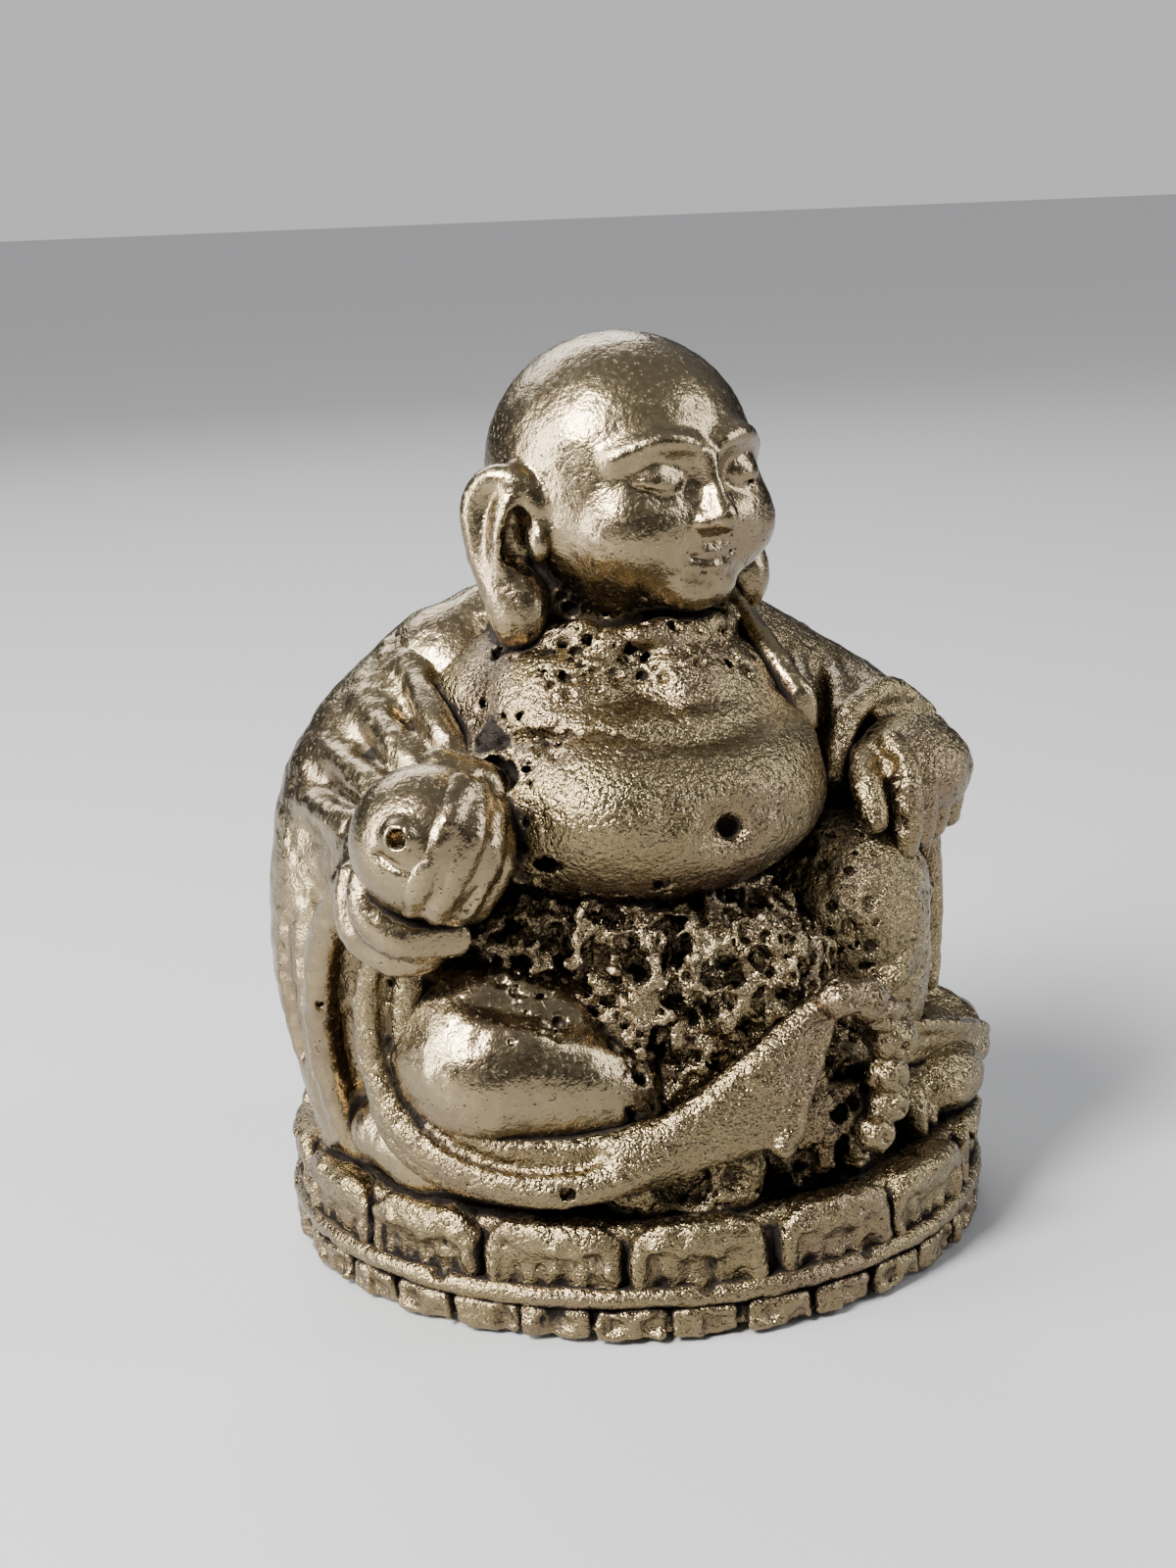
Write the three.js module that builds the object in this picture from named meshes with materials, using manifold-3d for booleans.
// A bubbling ornament for a small aquarium: a seated, laughing-monk-style figure on a round petal plinth.
// Metal-plated castings over a hollow core, with an air inlet at the back and an air stone inside the body,
// so that bubbles leave through the open froth in the figure's lap.
// Units are millimetres. +Z is up, the figure faces -Y, and the origin is the middle of the underside.
import * as THREE from "three";
import { mergeVertices } from "three/addons/utils/BufferGeometryUtils.js";
import Module from "manifold-3d";

// ---- driving dimensions -----------------------------------------------------------------------------------
const GAP = 0.3; // clearance left between neighbouring castings
const RUN_FIT = 0.08; // radial clearance of the pipe that turns in its grommet
const CUT = 2; // how far a cutting tool runs past what it cuts
const SIDES = 12; // facets round a rounded form

const PLINTH_R = 32.5; // outside radius of the lower tier
const PLINTH_TOP = 10; // top of the petal rim
const SEAT_Z = PLINTH_TOP - 1.4; // the sunk floor that the figure sits on
const SEAT_R = PLINTH_R - 4.3; // inside of the petal rim
const SEAT_WALL = 2; // thickness of that floor
const TIER_Z = 2.9; // top of the lower tier
const BEAD_TOP = 4.8; // top of the plain bead between the tiers
const CAVITY_R = PLINTH_R - 4.5; // hollow under the seat floor
const UPPER_PETALS = 16;
const LOWER_PETALS = 32;
const PETAL_DEPTH = 1.1; // how deep the grooves between petals are
const PETAL_TURN = THREE.MathUtils.degToRad(4); // turns a petal's middle from the figure's front

const PAD_T = 1.2; // non-slip pad
const PLATE_T = 1.4; // cover plate above it
const LIFT = 0.4; // the castings stand this far above the surface that the pad rests on

const DRAWN_R = 32.5; // the figure's points below are drawn for this plinth radius
const DRAWN_SEAT = 8.6; // and this seat height
const FIGURE_SCALE = PLINTH_R / DRAWN_R;

const WELL = [0, 9 * FIGURE_SCALE]; // axis of the well that holds the air stone
const WELL_R = 5.6;
const WELL_TOP = SEAT_Z + 22.4;
const STONE_R = 4.4;
const STONE_LENGTH = 15;
const STONE_NIPPLE_R = 1.6;
const HOLDER_R = 6.4;
const HOLDER_WALL = 1.2;
const BUNG_R = 7; // access plug under the stone
const BUNG_T = 2.3;
const VENT_R = 1.6; // passage from the well to the lap
const VENT_Z = SEAT_Z + 15.4;

const INLET_Z = 4.6; // height of the air inlet's axis
const PORT_R = 2.5; // hole through the plinth's back wall
const STEM_R = 1.2; // outside radius of the inlet's pipe
const SOCKET_WALL = 0.4; // wall of the holder's side socket, which takes the pipe's inner end
const PIPE_BORE = 0.7;
const GROMMET_LIP = 0.8;
const BARB_R = 2.2;
const ELBOW_Y = PLINTH_R + 5.5; // where the inlet turns upwards
const ELBOW_RISE = 11; // how far it rises from there

const SCREW_R = 1.1;
const SCREW_HEAD_R = 2;
const SCREW_HEAD_T = 0.9;
const SCREW_LENGTH = 4.4;
const SCREW_CIRCLE = CAVITY_R - 5;
const SCREW_ANGLES = [30, 150, 270];
const BOSS_R = 2.6;

const HEAD = [-1.2, -4, 68.8]; // middle of the skull
const HEAD_TURN = 11; // degrees, towards the figure's left
const BODY_TURN = -12; // degrees, towards its right
const BEAD_R = 2; // beads of the hanging string
const BEAD_COUNT = 8;

// ---- materials --------------------------------------------------------------------------------------------
const metal = (color, roughness) => new THREE.MeshStandardMaterial({ color, roughness, metalness: 1 });
const finishes = {
  bright_plating: metal(0xb9ad96, 0.28),
  grained_plating: metal(0xa39679, 0.42),
  dark_froth: metal(0x6f6450, 0.5),
  screw_steel: metal(0x9a9a9c, 0.35),
  black_rubber: new THREE.MeshStandardMaterial({ color: 0x1c1c1e, roughness: 0.85 }),
  black_plastic: new THREE.MeshStandardMaterial({ color: 0x26282a, roughness: 0.55 }),
  blue_stone: new THREE.MeshStandardMaterial({ color: 0x5f86a8, roughness: 0.95 }),
};

// ---- solids -----------------------------------------------------------------------------------------------
const wasm = await Module();
wasm.setup();

function toSolid(geometry) {
  const bare = (geometry.index ? geometry.toNonIndexed() : geometry).clone();
  bare.deleteAttribute("normal");
  bare.deleteAttribute("uv");
  const merged = mergeVertices(bare, 1e-4);
  return new wasm.Manifold(
    new wasm.Mesh({
      numProp: 3,
      vertProperties: merged.attributes.position.array,
      triVerts: new Uint32Array(merged.index.array),
    }),
  );
}

function toGeometry(solid) {
  const mesh = solid.getMesh();
  const points = new Float32Array(mesh.numVert * 3);
  for (let i = 0; i < mesh.numVert; i++) {
    points.set(mesh.vertProperties.subarray(i * mesh.numProp, i * mesh.numProp + 3), i * 3);
  }
  const geometry = new THREE.BufferGeometry();
  geometry.setAttribute("position", new THREE.BufferAttribute(points, 3));
  geometry.setIndex(new THREE.BufferAttribute(mesh.triVerts, 1));
  geometry.computeVertexNormals();
  return geometry;
}

const join = (solids) => solids.reduce((all, next) => all.add(next));
// A cut can leave loose chips, and the piece is the largest body that remains.
const largest = (solid) =>
  solid.decompose().reduce((best, next) => (next.volume() > best.volume() ? next : best));

// Where a drawn point of the figure stands on this plinth.
const onSeat = ([x, y, z]) => [
  x * FIGURE_SCALE,
  y * FIGURE_SCALE,
  SEAT_Z + (z - DRAWN_SEAT) * FIGURE_SCALE,
];

// A rounded mass of the figure. turn is in degrees about Z.
const mass = (at, radii, turn = 0, sides = SIDES) => (grow) => {
  const ball = new THREE.SphereGeometry(1, sides, Math.ceil(sides * 0.6));
  ball.rotateX(Math.PI / 2);
  ball.scale(...radii.map((r) => r * FIGURE_SCALE + grow));
  ball.rotateZ(THREE.MathUtils.degToRad(turn));
  ball.translate(...onSeat(at));
  return toSolid(ball);
};

// A limb with round ends that tapers from one point to the other.
const limb = (from, to, fromR, toR = fromR, sides = SIDES) => (grow) => {
  const a = new THREE.Vector3(...onSeat(from));
  const b = new THREE.Vector3(...onSeat(to));
  const length = a.distanceTo(b);
  const [r0, r1] = [fromR, toR].map((r) => r * FIGURE_SCALE + grow);
  const lean = Math.asin(THREE.MathUtils.clamp((r0 - r1) / length, -0.95, 0.95));
  const profile = [];
  const steps = Math.ceil(sides / 4);
  for (let i = 0; i <= steps; i++) {
    const angle = -Math.PI / 2 + ((Math.PI / 2 + lean) * i) / steps;
    profile.push(new THREE.Vector2(r0 * Math.cos(angle), r0 * Math.sin(angle)));
  }
  for (let i = 0; i <= steps; i++) {
    const angle = lean + ((Math.PI / 2 - lean) * i) / steps;
    profile.push(new THREE.Vector2(r1 * Math.cos(angle), length + r1 * Math.sin(angle)));
  }
  profile[0].x = 0;
  profile[profile.length - 1].x = 0;
  const body = new THREE.LatheGeometry(profile, sides);
  const along = b.clone().sub(a).normalize();
  body.applyQuaternion(new THREE.Quaternion().setFromUnitVectors(new THREE.Vector3(0, 1, 0), along));
  body.translate(a.x, a.y, a.z);
  return toSolid(body);
};

// A chain of limbs through points, each point being [x, y, z, radius].
const chain = (points, sides = SIDES) =>
  points.slice(1).map((p, i) => limb(points[i].slice(0, 3), p.slice(0, 3), points[i][3], p[3], sides));

// An upright drum from z0 to z1, and one that lies along Y.
function drum(x, y, z0, z1, radius, sides = SIDES * 2) {
  const body = new THREE.CylinderGeometry(radius, radius, z1 - z0, sides);
  body.rotateX(Math.PI / 2);
  body.translate(x, y, (z0 + z1) / 2);
  return toSolid(body);
}

function bar(y0, y1, z, radius, sides = SIDES) {
  const body = new THREE.CylinderGeometry(radius, radius, y1 - y0, sides);
  body.translate(0, (y0 + y1) / 2, z);
  return toSolid(body);
}

// A turned ring whose outer wall has a groove between each pair of petals.
// The profile is [radius, z] points that close on themselves; only points beyond inside are grooved.
function petalRing(profile, petals, inside) {
  const ring = new THREE.LatheGeometry(
    [...profile, profile[0]].map(([r, z]) => new THREE.Vector2(r, z)),
    petals * 4,
  );
  const place = ring.attributes.position;
  for (let i = 0; i < place.count; i++) {
    const [x, z] = [place.getX(i), place.getZ(i)];
    const r = Math.hypot(x, z);
    const across = Math.abs(Math.cos(Math.atan2(x, z) * petals * 0.5));
    const dip = r > inside ? PETAL_DEPTH * (1 - across) ** 3 : 0;
    place.setX(i, (x * (r - dip)) / r);
    place.setZ(i, (z * (r - dip)) / r);
  }
  ring.rotateX(Math.PI / 2);
  ring.rotateZ(PETAL_TURN);
  return toSolid(ring);
}

// ---- the plinth and what closes it ------------------------------------------------------------------------
const bossSpots = SCREW_ANGLES.map((degrees) => {
  const angle = THREE.MathUtils.degToRad(degrees);
  return [SCREW_CIRCLE * Math.cos(angle), SCREW_CIRCLE * Math.sin(angle)];
});
const plateTop = PAD_T + PLATE_T;
const plateBelow = plateTop + GAP;

function plinth() {
  const wall = petalRing(
    [
      [CAVITY_R, TIER_Z + GAP],
      [PLINTH_R - 1.6, TIER_Z + GAP],
      [PLINTH_R - 0.5, (TIER_Z + BEAD_TOP) / 2],
      [PLINTH_R - 1, BEAD_TOP],
      [PLINTH_R - 0.6, BEAD_TOP + 1.6],
      [PLINTH_R - 0.7, PLINTH_TOP - 1.2],
      [PLINTH_R - 1.8, PLINTH_TOP],
      [SEAT_R + 0.8, PLINTH_TOP],
      [SEAT_R, SEAT_Z],
      [SEAT_R, SEAT_Z - SEAT_WALL],
      [CAVITY_R, SEAT_Z - SEAT_WALL],
    ],
    UPPER_PETALS,
    SEAT_R + 1,
  );
  const floor = drum(0, 0, SEAT_Z - SEAT_WALL, SEAT_Z, SEAT_R + 1, 48);
  const bosses = bossSpots.map(([x, y]) => drum(x, y, plateBelow, SEAT_Z - CUT / 4, BOSS_R, SIDES));
  const screwHoles = bossSpots.map(([x, y]) =>
    drum(x, y, plateBelow - CUT, plateTop + SCREW_LENGTH - PLATE_T + GAP, SCREW_R + GAP, SIDES),
  );
  return join([wall, floor, ...bosses])
    .subtract(drum(...WELL, SEAT_Z - SEAT_WALL - CUT, SEAT_Z + CUT, WELL_R))
    .subtract(bar(CAVITY_R - CUT, PLINTH_R + CUT, INLET_Z, PORT_R))
    .subtract(join(screwHoles));
}

function footRing() {
  return petalRing(
    [
      [CAVITY_R, LIFT],
      [PLINTH_R - 0.5, LIFT],
      [PLINTH_R, LIFT + 0.5],
      [PLINTH_R, TIER_Z - 0.5],
      [PLINTH_R - 0.6, TIER_Z],
      [CAVITY_R, TIER_Z],
    ],
    LOWER_PETALS,
    CAVITY_R + 1,
  ).subtract(bar(CAVITY_R - CUT, PLINTH_R + CUT, INLET_Z, PORT_R));
}

const coverR = CAVITY_R - GAP;
const coverPlate = () =>
  drum(0, 0, PAD_T + GAP, plateTop, coverR, 48)
    .subtract(drum(...WELL, 0, plateTop + CUT, BUNG_R + GAP))
    .subtract(join(bossSpots.map(([x, y]) => drum(x, y, 0, plateTop + CUT, SCREW_R + GAP, SIDES))))
    .subtract(
      join(bossSpots.map(([x, y]) => drum(x, y, 0, PAD_T + GAP + SCREW_HEAD_T, SCREW_HEAD_R + GAP, SIDES))),
    );
const nonSlipPad = () =>
  drum(0, 0, 0, PAD_T, coverR, 48).subtract(drum(...WELL, -CUT, PAD_T + CUT, BUNG_R + GAP));

const coverScrew = ([x, y]) =>
  drum(x, y, PAD_T + GAP, PAD_T + GAP + SCREW_HEAD_T - GAP, SCREW_HEAD_R, SIDES).add(
    drum(x, y, PAD_T + GAP, PAD_T + SCREW_LENGTH, SCREW_R, SIDES),
  );

// ---- the air path -----------------------------------------------------------------------------------------
const holderTop = SEAT_Z - SEAT_WALL - GAP;
const holderBottom = BUNG_T + GAP;
const holderEnd = WELL[1] + HOLDER_R + 3; // outer end of the holder's side socket

const accessBung = () =>
  drum(...WELL, GAP, BUNG_T, BUNG_R).subtract(drum(...WELL, -CUT, BUNG_T / 2, BUNG_R - 2));

const stoneHolder = () =>
  drum(...WELL, holderBottom, holderTop, HOLDER_R)
    .add(bar(WELL[1], holderEnd, INLET_Z, STEM_R + GAP + SOCKET_WALL))
    .subtract(drum(...WELL, holderBottom + HOLDER_WALL, holderTop + CUT, STONE_NIPPLE_R + GAP))
    .subtract(bar(holderEnd - 3, holderEnd + CUT, INLET_Z, STEM_R + GAP))
    .subtract(bar(WELL[1], holderEnd, INLET_Z, PIPE_BORE));

const airStone = () => {
  const [x, y] = WELL;
  const bottom = holderTop + GAP;
  return drum(x, y, bottom, bottom + STONE_LENGTH, STONE_R).add(
    drum(x, y, holderBottom + HOLDER_WALL + GAP, bottom + CUT, STONE_NIPPLE_R, SIDES),
  );
};

const inletGrommet = () =>
  bar(CAVITY_R, PLINTH_R + GROMMET_LIP, INLET_Z, PORT_R - GAP).subtract(
    bar(CAVITY_R - CUT, PLINTH_R + CUT, INLET_Z, STEM_R + RUN_FIT, SIDES * 2),
  );

function inletElbow() {
  const top = INLET_Z + ELBOW_RISE;
  const pipe = bar(holderEnd - 2.4, ELBOW_Y, INLET_Z, STEM_R, SIDES * 2).add(
    drum(0, ELBOW_Y, INLET_Z, top, STEM_R, SIDES),
  );
  const knuckle = toSolid(new THREE.SphereGeometry(BARB_R, SIDES, SIDES).translate(0, ELBOW_Y, INLET_Z));
  const collar = bar(PLINTH_R + GROMMET_LIP + GAP, PLINTH_R + GROMMET_LIP + 1.5, INLET_Z, BARB_R);
  const barbs = [0.42, 0.62, 0.82].map((share) => {
    const z = INLET_Z + ELBOW_RISE * share;
    const ring = new THREE.CylinderGeometry(STEM_R, BARB_R, 1.4, SIDES);
    ring.rotateX(Math.PI / 2);
    ring.translate(0, ELBOW_Y, z);
    return toSolid(ring);
  });
  return join([pipe, knuckle, collar, ...barbs])
    .subtract(drum(0, ELBOW_Y, INLET_Z, top + CUT, PIPE_BORE, SIDES))
    .subtract(bar(holderEnd - CUT, ELBOW_Y, INLET_Z, PIPE_BORE));
}

// ---- the figure's castings, as rounded masses -------------------------------------------------------------
// Each list is one casting. A later casting is cut back from the earlier ones, so neighbours meet with GAP.
const fromHead = (x, y, z) => {
  const spot = new THREE.Vector3(x, y, z).applyAxisAngle(
    new THREE.Vector3(0, 0, 1),
    THREE.MathUtils.degToRad(HEAD_TURN),
  );
  return [HEAD[0] + spot.x, HEAD[1] + spot.y, HEAD[2] + spot.z];
};
const ear = (side) => [
  mass(fromHead(side * 13, 0.4, -4.2), [3, 3.6, 6], HEAD_TURN),
  mass(fromHead(side * 13.2, -1, -10.4), [2.6, 2.8, 4.2], HEAD_TURN),
];
const fingers = (roots, tips, radius) =>
  roots.map((root, i) => limb(root, tips[i], radius, radius * 0.85, SIDES - 4));

const castings = {
  head: [
    mass(HEAD, [11.6, 11.8, 11.4], HEAD_TURN),
    mass(fromHead(0, -2, -5), [10.2, 9.6, 7.4], HEAD_TURN),
    mass(fromHead(0, -11.6, -3.6), [1.7, 2, 1.9], HEAD_TURN),
    ...ear(-1),
    ...ear(1),
    limb([-2, -3, 60], [-2.5, -2.5, 55], 8),
  ],
  torso: [
    mass([-3.5, -3, 48.5], [16.5, 13.5, 9], BODY_TURN),
    mass([-4.4, -9.8, 42], [17, 19, 11], BODY_TURN),
    mass([-1, 2, 22], [17, 15, 15]),
  ],
  right_hand: [
    mass([-24.8, -15.8, 41], [5.6, 5.8, 6.2]),
    ...fingers(
      [
        [-26.3, -22.1, 46.4],
        [-25, -21.6, 45.6],
        [-23.4, -20.6, 44.4],
        [-21.8, -19, 43],
      ],
      [
        [-30.3, -20.4, 38.4],
        [-28.6, -20.4, 37.2],
        [-26.6, -20.2, 36.9],
        [-24.6, -20.2, 37.4],
      ],
      1.7,
    ),
  ],
  held_peach: [mass([-27.6, -17.2, 42.4], [6, 5.8, 6])],
  left_hand: [
    mass([20, -16.6, 41.6], [5.6, 5.2, 4.4]),
    ...fingers(
      [0, 1, 2, 3].map((i) => [15.8 + i * 2.5, -20.4 + i * 1.2, 42]),
      [0, 1, 2, 3].map((i) => [15.6 + i * 2.5, -22 + i * 1.4, 36 + i * 0.4]),
      1.6,
    ),
  ],
  right_knee: [
    mass([-21.5, -14.4, 22.6], [8.8, 9, 7.8]),
    limb([-6, -8, 20], [-17, -12, 21], 8, 8.4),
    limb([-20, -16, 21.4], [-13.6, -19.6, 19.4], 7.4, 5.4),
    limb([-24, -11, 13], [-10, -18.4, 13], 4.6, 4.6),
  ],
  left_knee: [
    mass([12.6, -17, 31], [7.2, 7.4, 7.6]),
    limb([13, -17.4, 30], [14.6, -15, 16], 6.8, 5.2),
    limb([5, -6, 24], [12, -15, 30], 7.4, 7),
  ],
  right_foot: [
    mass([-8.4, -24.6, 11.6], [6.4, 4.4, 4.2]),
    mass([-5, -25.4, 12], [3.8, 3.8, 3.8]),
  ],
  left_foot: [
    mass([21, -17.4, 12], [5.4, 6.6, 4.2], -40),
    ...fingers(
      [0, 1, 2, 3, 4].map((i) => [15.8 + i * 2, -19.6 + i * 1.5, 12.6]),
      [0, 1, 2, 3, 4].map((i) => [16 + i * 2, -22.6 + i * 1.6, 11.2]),
      1.5,
    ),
  ],
  right_sleeve: [
    ...chain([
      [-15, 5, 47, 8.6],
      [-22, 5.4, 39.5, 8.6],
      [-24.6, 4.4, 28, 7.6],
      [-25.4, 2, 16, 5.6],
    ]),
    limb([-23, -3, 37], [-26, -11, 38], 7.4, 6),
    limb([-30, -9, 34], [-26, -2, 16], 2.4, 2.8),
  ],
  left_sleeve: [
    ...chain([
      [13, 2.6, 47, 8],
      [20.6, -3, 42.6, 7.2],
      [20.4, -10, 42, 6],
    ]),
    limb([22, -4, 38], [22.4, -7, 13.6], 6.4, 6),
    limb([16.4, -15.4, 17.4], [27.6, -13.2, 14.2], 3.4, 2.6),
    limb([28, -9, 13], [25.6, 2, 11.6], 2.4, 3),
  ],
  robe_back: [
    mass([-1, 5, 32], [22, 19, 25]),
    limb([-12, 4.6, 49.4], [9.6, 4, 49], 7.8),
    limb([-9, 3.6, 54], [5, 3, 54], 4.8),
    mass([-1, 6, 17], [25, 19, 10]),
  ],
  treasure_sack: [mass([5.4, -23, 14.2], [6.6, 5.8, 8.2])],
  robe_hem: [
    ...chain(
      [
        [-30, -12, 34, 2],
        [-30.2, -9.8, 26, 2.2],
        [-29.4, -11, 19, 2.4],
        [-27, -16.6, 15.4, 2.6],
        [-21.8, -22.4, 14, 2.6],
        [-14.6, -26.6, 14.8, 2.4],
        [-5, -28.6, 19, 2.4],
        [3.4, -28.6, 25.8, 2.2],
      ],
      10,
    ),
    limb([-12, -26.6, 15.4], [-4, -28.8, 15.6], 2.4, 2, 10),
    limb([-4, -28.8, 15.6], [2.6, -28.6, 24.4], 2, 2.4, 10),
  ],
  lap_froth: [
    mass([-3, -17.4, 26.6], [13, 10.8, 10.2]),
    mass([-13, -12.6, 31.6], [9, 9, 6.4]),
    limb([-8, -20.6, 19.6], [-2, -21.4, 19.2], 4.6),
  ],
};

// A string of beads that hangs from the hem's upper end, over the sack.
const beadPath = new THREE.CatmullRomCurve3([
  new THREE.Vector3(4.2, -30, 27.4),
  new THREE.Vector3(7.4, -29, 25),
  new THREE.Vector3(9.2, -27.8, 20.8),
  new THREE.Vector3(8.8, -28, 16.6),
  new THREE.Vector3(6.6, -29, 13.8),
]);
castings.bead_string = beadPath
  .getSpacedPoints(BEAD_COUNT - 1)
  .map((p) => mass(p.toArray(), [BEAD_R, BEAD_R, BEAD_R], 0, SIDES - 4));

const finishOf = {
  head: "bright_plating",
  right_hand: "bright_plating",
  held_peach: "bright_plating",
  right_knee: "bright_plating",
  right_sleeve: "bright_plating",
  robe_back: "bright_plating",
  lap_froth: "dark_froth",
};
// What each casting makes room for besides the castings before it.
const cutOrder = [
  "head",
  "torso",
  "right_hand",
  "held_peach",
  "left_hand",
  "right_knee",
  "left_knee",
  "bead_string",
  "treasure_sack",
  "right_foot",
  "left_foot",
  "right_sleeve",
  "left_sleeve",
  "robe_back",
  "robe_hem",
  "lap_froth",
];

const reach = PLINTH_R * 2; // past every casting
const belowSeat = drum(0, 0, -CUT, SEAT_Z + GAP, reach);
const rimRoom = drum(0, 0, 0, PLINTH_TOP + GAP, reach, 24).subtract(
  drum(0, 0, -CUT, PLINTH_TOP + CUT, SEAT_R - GAP, 24),
);
const well = drum(...WELL, 0, WELL_TOP, WELL_R);
const vent = bar(-PLINTH_R, WELL[1], VENT_Z, VENT_R, 10);

const group = new THREE.Group();
function place(name, solid, finish) {
  const mesh = new THREE.Mesh(toGeometry(largest(solid)), finishes[finish]);
  mesh.name = name;
  group.add(mesh);
}

place("plinth", plinth(), "grained_plating");
place("foot_ring", footRing(), "grained_plating");
place("cover_plate", coverPlate(), "black_plastic");
place("non_slip_pad", nonSlipPad(), "black_rubber");
bossSpots.forEach((spot, i) => place(`cover_screw_${i + 1}`, coverScrew(spot), "screw_steel"));
place("access_bung", accessBung(), "black_rubber");
place("stone_holder", stoneHolder(), "black_plastic");
place("air_stone", airStone(), "blue_stone");
place("inlet_grommet", inletGrommet(), "black_rubber");
place("inlet_elbow", inletElbow(), "black_plastic");

const earlier = [belowSeat, rimRoom];
for (const name of cutOrder) {
  const solid = join(castings[name].map((make) => make(0)));
  const hollow = name === "torso" || name === "lap_froth" || name === "robe_back" ? [well, vent] : [];
  place(name, solid.subtract(join([...earlier, ...hollow])), finishOf[name] ?? "grained_plating");
  earlier.push(join(castings[name].map((make) => make(GAP))));
}

export default group;
